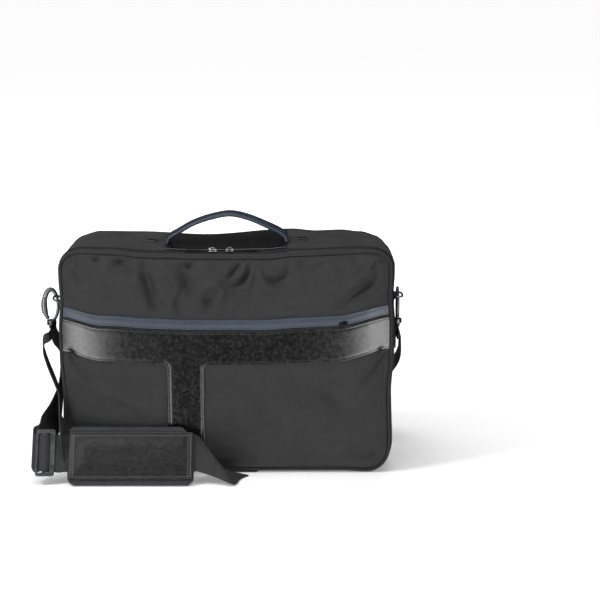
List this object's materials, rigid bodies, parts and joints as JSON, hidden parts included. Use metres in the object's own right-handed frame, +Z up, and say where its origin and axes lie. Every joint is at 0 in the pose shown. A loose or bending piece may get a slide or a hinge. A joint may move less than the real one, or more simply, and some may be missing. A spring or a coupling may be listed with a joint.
{
  "type": "convertible backpack",
  "caption": "Landscape convertible backpack in carrying form: zipped soft body with piping, leather band, top handle and a padded shoulder strap on swivel hooks.",
  "frame": {"origin": "middle of the footprint, on the surface that the bag stands on", "axes": "+Z up, front face towards -Y, +X to the right seen from the front, the long way of the bag"},
  "size_m": [0.4888, 0.249, 0.3413],
  "materials": {
    "fabric": "woven, matt",
    "leather": "smooth, semi-gloss",
    "slate_leather": "fine grain, satin",
    "webbing": "ribbed weave, matt",
    "zip": "matt",
    "slider": "satin",
    "gunmetal": "satin gunmetal"
  },
  "bodies": {
    "bag": {"front_panel": "fabric", "front_band": "leather", "front_zip_trim": "slate_leather", "front_zip": "zip", "back_panel": "fabric", "back_band": "leather", "back_zip_trim": "slate_leather", "front_piping": "webbing", "back_piping": "webbing", "gusset": "fabric", "main_zip": "zip", "handle_panel": "leather", "slot_tab_left": "leather", "slot_tab_right": "leather", "handle": "slate_leather", "main_zip_slider_left": "slider", "main_zip_pull_left": "zip", "main_zip_slider_right": "slider", "main_zip_pull_right": "zip", "front_zip_slider": "zip", "d_ring_tab_left": "webbing", "d_ring_left": "gunmetal", "hook_left_body": "gunmetal", "hook_left_base": "gunmetal", "d_ring_tab_right": "webbing", "d_ring_right": "gunmetal", "hook_right_body": "gunmetal", "hook_right_base": "gunmetal", "strap_pad": "webbing", "pad_leather": "leather", "strap_buckle": "gunmetal", "strap_webbing": "webbing"},
    "left_gate": {"hook_left_gate": "gunmetal"},
    "right_gate": {"hook_right_gate": "gunmetal"}
  },
  "joints": [
    {"name": "left_gate_swing", "type": "hinge", "parent": "bag", "child": "left_gate", "pos_m": [-0.23221, -0.00579, 0.19689], "axis": [0, 1, 0], "range_deg": [0, 20], "stiffness_Nm_per_rad": 0.05, "springref_deg": -17.19},
    {"name": "right_gate_swing", "type": "hinge", "parent": "bag", "child": "right_gate", "pos_m": [0.23744, 0.03746, 0.18766], "axis": [-1, 0, 0], "range_deg": [0, 20], "stiffness_Nm_per_rad": 0.05, "springref_deg": -17.19}
  ]
}
